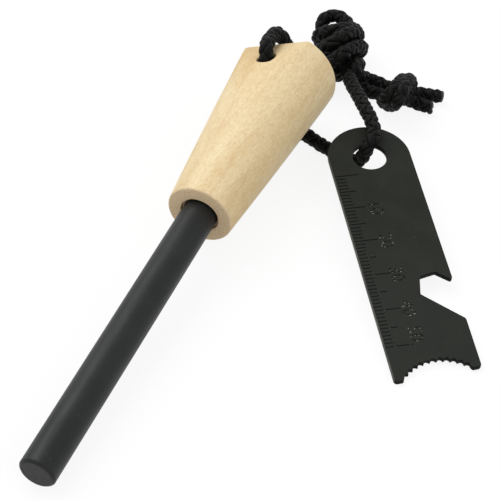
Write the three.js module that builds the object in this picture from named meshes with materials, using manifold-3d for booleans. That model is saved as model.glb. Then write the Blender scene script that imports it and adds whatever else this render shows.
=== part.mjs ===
// Fire starter: a ferrocerium rod glued in a turned wooden handle, and a steel scraper tied to it by a braided lanyard.
// Millimetres, +Z up. It lies on a table with the rod's tip towards -Y, the handle's butt towards +Y and the
// scraper on the +X side. The origin is on the table, below the middle of the box round the rigid pieces.
import * as THREE from "three";
import { mergeVertices } from "three/addons/utils/BufferGeometryUtils.js";
import Module from "manifold-3d";

const wasm = await Module();
wasm.setup();

const DEGREE = Math.PI / 180;
const TURN = 2 * Math.PI;

// Rod: a plain black bar, glued into the handle for a quarter of its length.
const ROD_RADIUS = 4.05;
const ROD_LENGTH = 101.6;
const ROD_SEAT_DEPTH = 25.7;
const ROD_CHAMFER = 0.5;

// Handle: a cone turned on the rod's axis.
const HANDLE_LENGTH = 52.9;
const HANDLE_FRONT_RADIUS = 7.7;
const HANDLE_BUTT_RADIUS = 12.15;
const HANDLE_SWELL = 0.15;
const HANDLE_FRONT_ROUNDING = 0.5;
const HANDLE_BUTT_ROUNDING = 1.9;

// Glue: a thin sleeve between the rod and its bore.
const GLUE_THICKNESS = 0.3;
const GLUE_CLEARANCE = 0.1;
const GLUE_MOUTH_INSET = 0.6;
const BORE_END_ROOM = 0.6;

// Lanyard hole and the two sloping flats that it opens on. A turn is measured from +X over the top.
const CROSS_HOLE_RADIUS = 2.3;
const CROSS_HOLE_FROM_BUTT = 9.8;
const CROSS_HOLE_TURN = 103 * DEGREE;
const FLAT_TURN = 115 * DEGREE;
const FLAT_SLOPE = 15.6 * DEGREE;
const FLAT_DEPTH_AT_BUTT = 4.3;

// The rod's tip and the cord below the butt carry the handle, so its axis rises towards the butt.
const AXIS_RISE = 4.83 * DEGREE;

// Scraper: a stamped plate with a half-round head. Places along it are counted from the ruler's zero mark.
const PLATE_WIDTH = 19.5;
const PLATE_THICKNESS = 1.2;
const HANG_HOLE_RADIUS = 4;
const RULER_ZERO_FROM_TOP = 15.05;
const RULER_LENGTH = 50;
const RULER_STEP = 1;
const MARK_WIDTH = 0.2;
const MARK_DEPTH = 0.15;
const MARK_LENGTH = 2.3;
const MARK_LENGTH_FIVE = 3.8;
const MARK_LENGTH_TEN = 6;
const MARK_EDGE_INSET = 0.3;

// Opener notch in the scraper's right edge: depths are measured in from that edge.
const HOOK_TIP = { depth: 0.3, along: 33.8 };
const HOOK_EDGE_ALONG = 32.9;
const NOTCH_APEX = { depth: 3.48, along: 31.07 };
const NOTCH_UPPER_CORNER = { depth: 7.13, along: 31.93 };
const NOTCH_LOWER_CORNER = { depth: 8.16, along: 36.75 };
const RAMP_END_ALONG = 44.7;
const HOOK_ROUNDING = 0.45;
const NOTCH_ROUNDING = 0.5;
const RAMP_ROUNDING = 1;

// Toothed end: a concave arc between two horns, cut a little off square.
const PLATE_END_ALONG = 58.45;
const END_SLANT = 4.1 * DEGREE;
const HORN_ROUNDING = 0.8;
const SCOOP_RADIUS = 10;
const SCOOP_DEPTH = 3.6;
const SCOOP_HALF_ANGLE = 46.9 * DEGREE;
const TOOTH_COUNT = 10;
const TOOTH_DEPTH = 0.45;

// How the scraper lies: its toothed end on the table, its hole lifted by the lanyard.
const PLATE_HEADING = 34.4 * DEGREE;
const PLATE_RISE = 6 * DEGREE;
const PLATE_HOLE_PLACE = { x: 26.2, y: 113.7 };

// Lanyard: one cord. Its route is listed by hand from one melted end to the other, measured from the table
// point below the rod's tip, and each stretch starts where the one before it stops.
const CORD_RADIUS = 1.7;
const CORD_SIDES = 8;
const CORD_STEP = 3;
const CORD_MEETING_GAP = 0.3;
const CORD_ROUTE = {
  cord_end_1: [[32.0, 149.9, 1.9], [29.9, 149.4, 1.9], [28.1, 149.0, 1.9]],
  stopper_wraps: [[28.1, 149.0, 1.9], [26.9, 148.6, 2.0], [25.2, 146.6, 3.2], [23.6, 143.9, 4.4], [21.5, 142.8, 3.2],
    [21.0, 141.6, 2.0], [23.3, 138.3, 4.6], [25.0, 135.7, 8.2], [25.5, 137.5, 9.9], [25.1, 141.8, 9.2],
    [24.0, 147.1, 6.4], [24.0, 149.8, 3.2], [24.3, 147.6, 2.1], [23.0, 144.1, 2.2], [21.0, 141.6, 2.2],
    [20.8, 138.2, 5.0], [22.4, 136.2, 8.2], [23.2, 138.1, 9.6], [23.1, 142.7, 8.2], [22.5, 147.5, 5.4],
    [22.1, 148.5, 2.9], [20.9, 147.1, 2.6], [19.2, 147.4, 2.2], [18.1, 147.7, 2.0]],
  cord_tail_1: [[18.1, 147.7, 2.0], [16.3, 148.2, 1.9], [14.6, 148.5, 1.9]],
  knot_wraps: [[14.6, 148.5, 1.9], [13.0, 148.3, 2.3], [11.9, 144.7, 5.4], [10.6, 143.5, 7.8], [10.2, 146.6, 7.2],
    [9.9, 150.0, 4.2], [7.7, 148.7, 2.0], [4.8, 145.5, 2.6], [3.6, 142.7, 6.0], [5.3, 141.0, 9.6],
    [7.4, 143.4, 11.4], [8.6, 149.0, 10.2], [9.0, 154.1, 6.6], [7.6, 154.1, 3.6], [4.7, 152.0, 2.2],
    [1.3, 149.4, 3.8], [0.5, 146.9, 8.0], [3.2, 145.5, 11.4], [5.1, 147.6, 12.8], [6.2, 151.6, 12.0],
    [6.7, 156.5, 8.8], [6.1, 157.9, 5.0], [3.2, 156.5, 2.8], [-0.6, 154.1, 3.8], [-2.2, 152.1, 7.8],
    [0.2, 151.0, 10.8], [3.0, 151.8, 11.8], [4.9, 155.5, 10.4], [5.2, 159.7, 6.8], [2.5, 160.8, 3.8],
    [-0.7, 158.6, 3.6], [-3.4, 158.1, 5.6], [-3.7, 159.4, 7.6], [-1.8, 161.1, 8.6], [1.5, 160.5, 8.8],
    [4.2, 157.8, 8.2], [5.2, 152.7, 7.5], [6.3, 148.1, 6.0], [4.6, 143.6, 4.5], [2.6, 141.0, 5.0],
    [1.4, 139.6, 6.0]],
  cord_over_butt: [[1.4, 139.6, 6.0], [0.4, 138.2, 7.6], [-0.7, 136.5, 10.2], [-1.8, 134.5, 13.6],
    [-2.7, 132.4, 17.4], [-3.3, 130.4, 21.1], [-4.2, 128.6, 23.7], [-4.4, 125.8, 24.6], [-4.0, 122.7, 25.4],
    [-3.3, 119.7, 26.0], [-2.4, 117.8, 24.0], [-1.5, 118.0, 20.5], [0, 118.6, 14.1]],
  cord_under_handle: [[0, 118.6, 14.1], [0.9, 118.9, 10.0], [1.7, 119.2, 6.5], [2.3, 119.4, 4.1],
    [3.8, 120.2, 2.3], [7.0, 121.6, 1.8], [10.4, 120.3, 1.8], [14.3, 118.5, 2.2], [18.2, 116.6, 2.8],
    [21.2, 115.5, 3.5]],
  cord_scraper_strand: [[21.2, 115.5, 3.5], [23.1, 114.4, 4.7], [24.1, 114.4, 6.2], [24.7, 114.5, 7.7],
    [25.0, 114.9, 9.0], [25.3, 116.1, 10.1], [25.1, 118.3, 10.5], [24.4, 120.4, 10.8], [22.4, 123.5, 10.9],
    [19.5, 127.3, 10.5], [15.9, 132.5, 9.4], [12.6, 137.2, 8.2]],
  knot_core: [[12.6, 137.2, 8.2], [9.3, 142.9, 6.8], [7.0, 146.9, 6.4], [5.6, 150.3, 6.8], [5.9, 153.4, 5.4],
    [7.7, 150.9, 4.6], [9.4, 146.5, 4.4], [11.8, 144.1, 3.3],
    [13.5, 143.9, 2.2], [14.6, 143.9, 2.0]],
  cord_tail_2: [[14.6, 143.9, 2.0], [15.8, 144.0, 1.9], [17.0, 144.0, 1.9]],
  stopper_core: [[17.0, 144.0, 1.9], [18.4, 143.8, 2.1], [20.2, 142.3, 3.4], [23.0, 141.7, 4.9],
    [25.1, 143.2, 3.4], [26.7, 144.7, 2.1], [28.0, 144.8, 1.9]],
  cord_end_2: [[28.0, 144.8, 1.9], [29.4, 144.7, 1.9], [31.0, 144.7, 1.9]],
};

// Fineness and working values
const ROUND_SEGMENTS = 48;
const HANDLE_SEGMENTS = 64;
const ARC_STEP = 12 * DEGREE;
const CUT_OVERRUN = 5;
const KNOT_SMALLEST_DETAIL = 0.05;

const wood = new THREE.MeshStandardMaterial({ color: 0xe2c79a, roughness: 0.6, metalness: 0 });
const ferrocerium = new THREE.MeshStandardMaterial({ color: 0x26272a, roughness: 0.45, metalness: 0.6 });
const glue = new THREE.MeshStandardMaterial({ color: 0x8a6f45, roughness: 0.4, metalness: 0 });
const steel = new THREE.MeshStandardMaterial({ color: 0x2f312f, roughness: 0.4, metalness: 0.7 });
const braid = new THREE.MeshStandardMaterial({ color: 0x141414, roughness: 0.85, metalness: 0 });

// Booleans work on closed meshes whose corners are shared.
function toSolid(geometry) {
  const bare = geometry.clone();
  bare.deleteAttribute("normal");
  bare.deleteAttribute("uv");
  const merged = mergeVertices(bare, 1e-5);
  const triVerts = new Uint32Array(merged.index.array);
  const vertProperties = new Float32Array(merged.attributes.position.array);
  return new wasm.Manifold(new wasm.Mesh({ numProp: 3, vertProperties, triVerts }));
}

function toGeometry(solid) {
  const mesh = solid.getMesh();
  const geometry = new THREE.BufferGeometry();
  geometry.setAttribute("position", new THREE.BufferAttribute(mesh.vertProperties, 3));
  geometry.setIndex(new THREE.BufferAttribute(mesh.triVerts, 1));
  geometry.computeVertexNormals();
  return geometry;
}

function joined(solids) {
  return solids.reduce((whole, next) => whole.add(next));
}

// Corner points of an arc, both ends included.
function arcPoints(centre, radius, from, to) {
  const count = Math.max(2, Math.ceil(Math.abs(to - from) / ARC_STEP));
  const points = [];
  for (let step = 0; step <= count; step += 1) {
    const angle = THREE.MathUtils.lerp(from, to, step / count);
    points.push(new THREE.Vector2(centre.x + radius * Math.cos(angle), centre.y + radius * Math.sin(angle)));
  }
  return points;
}

// Rounds one corner of an outline: the points of the arc that touches both of its sides.
function roundedCorner(before, corner, after, radius) {
  const back = before.clone().sub(corner).normalize();
  const ahead = after.clone().sub(corner).normalize();
  const halfAngle = Math.acos(THREE.MathUtils.clamp(back.dot(ahead), -1, 1)) / 2;
  const centre = corner.clone().addScaledVector(back.clone().add(ahead).normalize(), radius / Math.sin(halfAngle));
  const start = corner.clone().addScaledVector(back, radius / Math.tan(halfAngle)).sub(centre);
  const end = corner.clone().addScaledVector(ahead, radius / Math.tan(halfAngle)).sub(centre);
  let sweep = end.angle() - start.angle();
  if (sweep > Math.PI) sweep -= TURN;
  if (sweep < -Math.PI) sweep += TURN;
  return arcPoints(centre, radius, start.angle(), start.angle() + sweep);
}

// The direction across the rod's axis at a given turn, in the axis group, whose +Z runs from the tip to the butt.
function across(turn) {
  return new THREE.Vector3(Math.cos(turn), -Math.sin(turn), 0);
}

// Rod, from its tip to the end of its seat; z = 0 is the handle's front face.
const rodExposed = ROD_LENGTH - ROD_SEAT_DEPTH;

function makeRod() {
  const profile = [
    new THREE.Vector2(0, -rodExposed),
    new THREE.Vector2(ROD_RADIUS - ROD_CHAMFER, -rodExposed),
    new THREE.Vector2(ROD_RADIUS, -rodExposed + ROD_CHAMFER),
    new THREE.Vector2(ROD_RADIUS, ROD_SEAT_DEPTH),
    new THREE.Vector2(0, ROD_SEAT_DEPTH),
  ];
  return axisLathe(profile, ROUND_SEGMENTS);
}

// A lathe turns about Y; the pieces on the rod's axis are turned about Z.
function axisLathe(profile, segments) {
  return new THREE.LatheGeometry(profile, segments).rotateX(Math.PI / 2);
}

const glueInnerRadius = ROD_RADIUS + GLUE_CLEARANCE;
const glueOuterRadius = glueInnerRadius + GLUE_THICKNESS;
const boreRadius = glueOuterRadius + GLUE_CLEARANCE;
const boreDepth = ROD_SEAT_DEPTH + BORE_END_ROOM;

function makeGlue() {
  const profile = [
    new THREE.Vector2(glueInnerRadius, GLUE_MOUTH_INSET),
    new THREE.Vector2(glueOuterRadius, GLUE_MOUTH_INSET),
    new THREE.Vector2(glueOuterRadius, ROD_SEAT_DEPTH),
    new THREE.Vector2(glueInnerRadius, ROD_SEAT_DEPTH),
    new THREE.Vector2(glueInnerRadius, GLUE_MOUTH_INSET),
  ];
  return axisLathe(profile, ROUND_SEGMENTS);
}

// Handle radius at a distance behind its front face: a cone with a slight swell in the middle.
function handleRadius(distance) {
  const share = distance / HANDLE_LENGTH;
  const cone = THREE.MathUtils.lerp(HANDLE_FRONT_RADIUS, HANDLE_BUTT_RADIUS, share);
  return cone + HANDLE_SWELL * Math.sin(Math.PI * share);
}

function handleProfile() {
  const profile = [
    new THREE.Vector2(0, boreDepth),
    new THREE.Vector2(boreRadius, boreDepth),
    new THREE.Vector2(boreRadius, 0),
  ];
  const frontCentre = {
    x: handleRadius(HANDLE_FRONT_ROUNDING) - HANDLE_FRONT_ROUNDING,
    y: HANDLE_FRONT_ROUNDING,
  };
  profile.push(...arcPoints(frontCentre, HANDLE_FRONT_ROUNDING, -Math.PI / 2, 0));
  const coneSteps = 6;
  const coneStart = HANDLE_FRONT_ROUNDING;
  const coneEnd = HANDLE_LENGTH - HANDLE_BUTT_ROUNDING;
  for (let step = 1; step < coneSteps; step += 1) {
    const distance = THREE.MathUtils.lerp(coneStart, coneEnd, step / coneSteps);
    profile.push(new THREE.Vector2(handleRadius(distance), distance));
  }
  const buttCentre = { x: handleRadius(coneEnd) - HANDLE_BUTT_ROUNDING, y: coneEnd };
  profile.push(...arcPoints(buttCentre, HANDLE_BUTT_ROUNDING, 0, Math.PI / 2));
  profile.push(new THREE.Vector2(0, HANDLE_LENGTH));
  return profile;
}

// A block whose one face lies on the sloping flat, with all that is outside it.
function flatCutter(turn) {
  const size = 2 * (HANDLE_LENGTH + CUT_OVERRUN);
  const normal = across(turn).multiplyScalar(Math.cos(FLAT_SLOPE));
  normal.z = Math.sin(FLAT_SLOPE);
  const onFlat = across(turn).multiplyScalar(HANDLE_BUTT_RADIUS - FLAT_DEPTH_AT_BUTT);
  onFlat.z = HANDLE_LENGTH;
  const block = new THREE.BoxGeometry(size, size, size).translate(size / 2, 0, 0);
  const upright = new THREE.Quaternion().setFromUnitVectors(new THREE.Vector3(1, 0, 0), normal);
  block.applyQuaternion(upright).translate(onFlat.x, onFlat.y, onFlat.z);
  return toSolid(block);
}

function crossHoleCutter() {
  const length = 2 * (HANDLE_BUTT_RADIUS + CUT_OVERRUN);
  const drill = new THREE.CylinderGeometry(CROSS_HOLE_RADIUS, CROSS_HOLE_RADIUS, length, ROUND_SEGMENTS);
  const aim = new THREE.Quaternion().setFromUnitVectors(new THREE.Vector3(0, 1, 0), across(CROSS_HOLE_TURN));
  drill.applyQuaternion(aim).translate(0, 0, HANDLE_LENGTH - CROSS_HOLE_FROM_BUTT);
  return toSolid(drill);
}

function makeHandle() {
  const turned = toSolid(axisLathe(handleProfile(), HANDLE_SEGMENTS));
  const flatted = turned.subtract(flatCutter(FLAT_TURN)).subtract(flatCutter(FLAT_TURN + Math.PI));
  return toGeometry(flatted.subtract(crossHoleCutter()));
}

// Scraper, flat in its own frame: the origin is its hole's centre, halfway through it; +Y points to the head.
const headRadius = PLATE_WIDTH / 2;
const rulerZeroY = headRadius - RULER_ZERO_FROM_TOP;

function alongY(along) {
  return rulerZeroY - along;
}

function edgePoint(place) {
  return new THREE.Vector2(headRadius - place.depth, alongY(place.along));
}

function notchOutline() {
  const aboveHook = new THREE.Vector2(headRadius, alongY(0));
  const hookEdge = new THREE.Vector2(headRadius, alongY(HOOK_EDGE_ALONG));
  const rampEnd = new THREE.Vector2(headRadius, alongY(RAMP_END_ALONG));
  const belowRamp = new THREE.Vector2(headRadius, alongY(PLATE_END_ALONG));
  const tip = edgePoint(HOOK_TIP);
  const apex = edgePoint(NOTCH_APEX);
  const upper = edgePoint(NOTCH_UPPER_CORNER);
  const lower = edgePoint(NOTCH_LOWER_CORNER);
  return [
    ...roundedCorner(aboveHook, hookEdge, tip, HOOK_ROUNDING),
    ...roundedCorner(hookEdge, tip, apex, HOOK_ROUNDING),
    apex,
    ...roundedCorner(apex, upper, lower, NOTCH_ROUNDING),
    ...roundedCorner(upper, lower, rampEnd, NOTCH_ROUNDING),
    ...roundedCorner(lower, rampEnd, belowRamp, RAMP_ROUNDING),
  ];
}

// The concave arc from the right horn to the left one, with a scallop between each two teeth.
function scoopOutline(endY) {
  const centreY = endY + SCOOP_DEPTH - SCOOP_RADIUS;
  const scallops = TOOTH_COUNT + 1;
  const stepsPerScallop = 5;
  const steps = scallops * stepsPerScallop;
  const points = [];
  for (let step = 0; step <= steps; step += 1) {
    const angle = THREE.MathUtils.lerp(SCOOP_HALF_ANGLE, -SCOOP_HALF_ANGLE, step / steps);
    const radius = SCOOP_RADIUS + TOOTH_DEPTH * Math.abs(Math.sin((Math.PI * step) / stepsPerScallop));
    points.push(new THREE.Vector2(radius * Math.sin(angle), centreY + radius * Math.cos(angle)));
  }
  return points;
}

function endOutline() {
  const endY = alongY(PLATE_END_ALONG);
  const scoop = scoopOutline(endY);
  const pivot = new THREE.Vector2(0, endY);
  const corner = (side) => new THREE.Vector2(side * headRadius, endY);
  const inner = (side) => new THREE.Vector2(side * (SCOOP_RADIUS + TOOTH_DEPTH) * Math.sin(SCOOP_HALF_ANGLE), endY);
  const above = (side) => new THREE.Vector2(side * headRadius, endY + SCOOP_RADIUS);
  const rightHorn = [
    ...roundedCorner(above(1), corner(1), inner(1), HORN_ROUNDING),
    inner(1),
  ];
  const leftHorn = [
    inner(-1),
    ...roundedCorner(inner(-1), corner(-1), above(-1), HORN_ROUNDING),
  ];
  const outline = [...rightHorn, ...scoop, ...leftHorn];
  return outline.map((point) => point.rotateAround(pivot, END_SLANT));
}

// Points that the slanted end has moved past the plate's sides are brought back to them.
function withinWidth(point) {
  return new THREE.Vector2(THREE.MathUtils.clamp(point.x, -headRadius, headRadius), point.y);
}

function rulerMarks() {
  const marks = [];
  for (let distance = 0; distance <= RULER_LENGTH; distance += RULER_STEP) {
    let length = MARK_LENGTH;
    if (distance % 5 === 0) length = MARK_LENGTH_FIVE;
    if (distance % 10 === 0) length = MARK_LENGTH_TEN;
    const mark = new THREE.BoxGeometry(length, MARK_WIDTH, 2 * MARK_DEPTH);
    mark.translate(MARK_EDGE_INSET + length / 2 - headRadius, alongY(distance), PLATE_THICKNESS / 2);
    marks.push(toSolid(mark));
  }
  return joined(marks);
}

function makeScraper() {
  const head = arcPoints({ x: 0, y: 0 }, headRadius, Math.PI, 0);
  const outline = [...head, ...notchOutline(), ...endOutline().map(withinWidth)];
  const shape = new THREE.Shape(outline);
  shape.holes.push(new THREE.Path(arcPoints({ x: 0, y: 0 }, HANG_HOLE_RADIUS, 0, TURN).slice(0, -1)));
  const plate = new THREE.ExtrudeGeometry(shape, { depth: PLATE_THICKNESS, bevelEnabled: false });
  plate.translate(0, 0, -PLATE_THICKNESS / 2);
  return toGeometry(toSolid(plate).subtract(rulerMarks()));
}

// The lowest point of the lying scraper is a horn's lower edge; it sets how high the hole is.
function plateHoleHeight() {
  const reach = headRadius * Math.sin(END_SLANT) - alongY(PLATE_END_ALONG);
  return reach * Math.sin(PLATE_RISE) + (PLATE_THICKNESS / 2) * Math.cos(PLATE_RISE);
}

// One smooth curve through the whole cord's points; a stretch is the part between two of them.
const routePoints = [];
const routeSpans = {};
for (const [name, points] of Object.entries(CORD_ROUTE)) {
  const first = Math.max(routePoints.length - 1, 0);
  routePoints.push(...points.slice(routePoints.length ? 1 : 0).map((point) => new THREE.Vector3(...point)));
  routeSpans[name] = { first, last: routePoints.length - 1 };
}
const wholeCord = new THREE.CatmullRomCurve3(routePoints, false, "centripetal");

class CordStretch extends THREE.Curve {
  constructor(from, to) {
    super();
    this.from = from / (routePoints.length - 1);
    this.to = to / (routePoints.length - 1);
  }

  getPoint(share, target = new THREE.Vector3()) {
    return wholeCord.getPoint(THREE.MathUtils.lerp(this.from, this.to, share), target);
  }
}

const cordSection = new THREE.Shape(
  Array.from({ length: CORD_SIDES }, (_, side) => {
    const angle = (TURN * (side + 0.5)) / CORD_SIDES;
    return new THREE.Vector2(CORD_RADIUS * Math.cos(angle), CORD_RADIUS * Math.sin(angle));
  }),
);

function cordTube(from, to) {
  const extrudePath = new CordStretch(from, to);
  const steps = Math.max(2, Math.round(extrudePath.getLength() / CORD_STEP));
  return new THREE.ExtrudeGeometry(cordSection, { steps, extrudePath, bevelEnabled: false });
}

// Where a stretch meets the next one, each stops half the meeting gap short of the shared point.
function trimmed(span) {
  const half = CORD_MEETING_GAP / 2;
  const gapBefore = routePoints[span.first].distanceTo(routePoints[span.first + 1]);
  const gapAfter = routePoints[span.last].distanceTo(routePoints[span.last - 1]);
  return { from: span.first + half / gapBefore, to: span.last - half / gapAfter };
}

function makeStretch(name) {
  const { from, to } = trimmed(routeSpans[name]);
  return cordTube(from, to);
}

// In a knot the cord touches itself, so a knot is joined from short lengths that each run two points along.
function knotLengths(name) {
  const { from, to } = trimmed(routeSpans[name]);
  const pointsEach = 2;
  const overlapShare = 0.15;
  const lengths = [];
  for (let start = from; start < to; start += pointsEach) {
    const begin = Math.max(from, start - overlapShare);
    const end = Math.min(to, start + pointsEach);
    lengths.push(toSolid(cordTube(begin, end)));
  }
  return lengths;
}

// Slivers that the joining leaves beside the knot are dropped with the largest body kept.
function makeKnot(names) {
  const knot = joined(names.flatMap(knotLengths)).simplify(KNOT_SMALLEST_DETAIL);
  const bodies = knot.decompose().sort((a, b) => b.volume() - a.volume());
  return toGeometry(bodies[0]);
}

// Assembly
function piece(name, geometry, material) {
  const mesh = new THREE.Mesh(geometry, material);
  mesh.name = name;
  return mesh;
}

const axisPieces = new THREE.Group();
axisPieces.add(piece("ferro_rod", makeRod(), ferrocerium));
axisPieces.add(piece("rod_adhesive", makeGlue(), glue));
axisPieces.add(piece("handle", makeHandle(), wood));
axisPieces.rotation.x = AXIS_RISE - Math.PI / 2;
const tipHeight = ROD_RADIUS * Math.cos(AXIS_RISE) - ROD_CHAMFER * Math.sin(AXIS_RISE);
axisPieces.position.set(0, rodExposed * Math.cos(AXIS_RISE), tipHeight + rodExposed * Math.sin(AXIS_RISE));

const scraper = piece("scraper", makeScraper(), steel);
scraper.rotation.x = PLATE_RISE;
const plateHeading = new THREE.Group();
plateHeading.add(scraper);
plateHeading.rotation.z = PLATE_HEADING;
plateHeading.position.set(PLATE_HOLE_PLACE.x, PLATE_HOLE_PLACE.y, plateHoleHeight());

const rigidPieces = new THREE.Group();
rigidPieces.add(axisPieces, plateHeading);

const lanyard = new THREE.Group();
const stretches = ["cord_over_butt", "cord_under_handle", "cord_scraper_strand", "cord_tail_1", "cord_tail_2",
  "cord_end_1", "cord_end_2"];
for (const name of stretches) lanyard.add(piece(name, makeStretch(name), braid));
lanyard.add(piece("main_knot", makeKnot(["knot_wraps", "knot_core"]), braid));
lanyard.add(piece("stopper_knot", makeKnot(["stopper_wraps", "stopper_core"]), braid));

const fireStarter = new THREE.Group();
const layout = new THREE.Group();
layout.add(rigidPieces, lanyard);
const box = new THREE.Box3().setFromObject(rigidPieces, true);
const middle = box.getCenter(new THREE.Vector3());
layout.position.set(-middle.x, -middle.y, -box.min.z);
fireStarter.add(layout);

export default fireStarter;
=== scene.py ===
# Fire starter: a black ferrocerium rod in a turned birch handle, tied by a black braided lanyard to a steel
# scraper. Sizes are in millimetres in the text and in metres in the meshes, in the model's own frame.
import math

import bmesh
import bpy
from mathutils import Matrix, Vector


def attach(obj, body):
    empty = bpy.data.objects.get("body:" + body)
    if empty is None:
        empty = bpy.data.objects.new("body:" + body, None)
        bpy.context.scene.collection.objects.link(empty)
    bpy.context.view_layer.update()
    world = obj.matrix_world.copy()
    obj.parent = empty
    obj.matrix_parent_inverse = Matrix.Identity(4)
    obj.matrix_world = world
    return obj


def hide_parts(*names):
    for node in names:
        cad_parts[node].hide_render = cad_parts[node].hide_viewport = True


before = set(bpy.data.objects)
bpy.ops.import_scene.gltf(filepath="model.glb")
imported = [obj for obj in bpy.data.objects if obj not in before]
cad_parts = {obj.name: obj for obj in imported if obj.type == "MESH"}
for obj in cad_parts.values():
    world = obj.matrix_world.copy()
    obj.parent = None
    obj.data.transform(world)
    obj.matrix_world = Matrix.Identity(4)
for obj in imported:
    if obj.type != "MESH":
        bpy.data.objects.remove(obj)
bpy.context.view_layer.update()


# Camera
# A long lens looks down on the part from beyond the rod's tip, as the photograph does, with the table level
# but the camera rolled a little.
CAMERA_TURN = math.radians(21.9)
CAMERA_RAISE = math.radians(43.24)
CAMERA_ROLL = math.radians(2.41)
CAMERA_PLACE = Vector((0.08839, -0.24905, 0.26851))
LENS_LENGTH = 124.96
SENSOR_WIDTH = 36
NEAREST_SEEN = 0.01

camera_data = bpy.data.cameras.new("camera")
camera_data.lens = LENS_LENGTH
camera_data.sensor_width = SENSOR_WIDTH
camera_data.clip_start = NEAREST_SEEN
camera = bpy.data.objects.new("camera", camera_data)
bpy.context.scene.collection.objects.link(camera)
camera.matrix_world = (
    Matrix.Translation(CAMERA_PLACE)
    @ Matrix.Rotation(CAMERA_TURN, 4, "Z")
    @ Matrix.Rotation(math.pi / 2 - CAMERA_RAISE, 4, "X")
    @ Matrix.Rotation(CAMERA_ROLL, 4, "Z")
)
bpy.context.scene.camera = camera


# Lanyard
# One black nylon cord, round-braided from eight yarns over a core. It is tied in a loop through the handle and
# the scraper, with a bulky knot behind the butt, a doubled tail, a stopper knot and two melted ends.
MM = 0.001
TABLE_BELOW_TIP = Vector((-28.677, -64.434, 0))
CORD_ROUTE = {
    "cord_end_1": [(32.0, 149.9, 1.9), (29.9, 149.4, 1.9), (28.1, 149.0, 1.9)],
    "stopper_wraps": [
        (28.1, 149.0, 1.9), (26.9, 148.6, 2.0), (25.2, 146.6, 3.2), (23.6, 143.9, 4.4), (21.5, 142.8, 3.2),
        (21.0, 141.6, 2.0), (23.3, 138.3, 4.6), (25.0, 135.7, 8.2), (25.5, 137.5, 9.9), (25.1, 141.8, 9.2),
        (24.0, 147.1, 6.4), (24.0, 149.8, 3.2), (24.3, 147.6, 2.1), (23.0, 144.1, 2.2), (21.0, 141.6, 2.2),
        (20.8, 138.2, 5.0), (22.4, 136.2, 8.2), (23.2, 138.1, 9.6), (23.1, 142.7, 8.2), (22.5, 147.5, 5.4),
        (22.1, 148.5, 2.9), (20.9, 147.1, 2.6), (19.2, 147.4, 2.2), (18.1, 147.7, 2.0),
    ],
    "cord_tail_1": [(18.1, 147.7, 2.0), (16.3, 148.2, 1.9), (14.6, 148.5, 1.9)],
    "knot_wraps": [
        (14.6, 148.5, 1.9), (13.0, 148.3, 2.3), (11.9, 144.7, 5.4), (10.6, 143.5, 7.8), (10.2, 146.6, 7.2),
        (9.9, 150.0, 4.2), (7.7, 148.7, 2.0), (4.8, 145.5, 2.6), (3.6, 142.7, 6.0), (5.3, 141.0, 9.6),
        (7.4, 143.4, 11.4), (8.6, 149.0, 10.2), (9.0, 154.1, 6.6), (7.6, 154.1, 3.6), (4.7, 152.0, 2.2),
        (1.3, 149.4, 3.8), (0.5, 146.9, 8.0), (3.2, 145.5, 11.4), (5.1, 147.6, 12.8), (6.2, 151.6, 12.0),
        (6.7, 156.5, 8.8), (6.1, 157.9, 5.0), (3.2, 156.5, 2.8), (-0.6, 154.1, 3.8), (-2.2, 152.1, 7.8),
        (0.2, 151.0, 10.8), (3.0, 151.8, 11.8), (4.9, 155.5, 10.4), (5.2, 159.7, 6.8), (2.5, 160.8, 3.8),
        (-0.7, 158.6, 3.6), (-3.4, 158.1, 5.6), (-3.7, 159.4, 7.6), (-1.8, 161.1, 8.6), (1.5, 160.5, 8.8),
        (4.2, 157.8, 8.2), (5.2, 152.7, 7.5), (6.3, 148.1, 6.0), (4.6, 143.6, 4.5), (2.6, 141.0, 5.0),
        (1.4, 139.6, 6.0),
    ],
    "cord_over_butt": [
        (1.4, 139.6, 6.0), (0.4, 138.2, 7.6), (-0.7, 136.5, 10.2), (-1.8, 134.5, 13.6), (-2.7, 132.4, 17.4),
        (-3.3, 130.4, 21.1), (-4.2, 128.6, 23.7), (-4.4, 125.8, 24.6), (-4.0, 122.7, 25.4), (-3.3, 119.7, 26.0),
        (-2.4, 117.8, 24.0), (-1.5, 118.0, 20.5), (0, 118.6, 14.1),
    ],
    "cord_under_handle": [
        (0, 118.6, 14.1), (0.9, 118.9, 10.0), (1.7, 119.2, 6.5), (2.3, 119.4, 4.1), (3.8, 120.2, 2.3),
        (7.0, 121.6, 1.8), (10.4, 120.3, 1.8), (14.3, 118.5, 2.2), (18.2, 116.6, 2.8), (21.2, 115.5, 3.5),
    ],
    "cord_scraper_strand": [
        (21.2, 115.5, 3.5), (23.1, 114.4, 4.7), (24.1, 114.4, 6.2), (24.7, 114.5, 7.7), (25.0, 114.9, 9.0),
        (25.3, 116.1, 10.1), (25.1, 118.3, 10.5), (24.4, 120.4, 10.8), (22.4, 123.5, 10.9), (19.5, 127.3, 10.5),
        (15.9, 132.5, 9.4), (12.6, 137.2, 8.2),
    ],
    "knot_core": [
        (12.6, 137.2, 8.2), (9.3, 142.9, 6.8), (7.0, 146.9, 6.4), (5.6, 150.3, 6.8), (5.9, 153.4, 5.4),
        (7.7, 150.9, 4.6), (9.4, 146.5, 4.4), (11.8, 144.1, 3.3), (13.5, 143.9, 2.2), (14.6, 143.9, 2.0),
    ],
    "cord_tail_2": [(14.6, 143.9, 2.0), (15.8, 144.0, 1.9), (17.0, 144.0, 1.9)],
    "stopper_core": [
        (17.0, 144.0, 1.9), (18.4, 143.8, 2.1), (20.2, 142.3, 3.4), (23.0, 141.7, 4.9), (25.1, 143.2, 3.4),
        (26.7, 144.7, 2.1), (28.0, 144.8, 1.9),
    ],
    "cord_end_2": [(28.0, 144.8, 1.9), (29.4, 144.7, 1.9), (31.0, 144.7, 1.9)],
}
BRAID_LAY = 8.6
BRAID_RADIUS = 1.12
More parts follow.
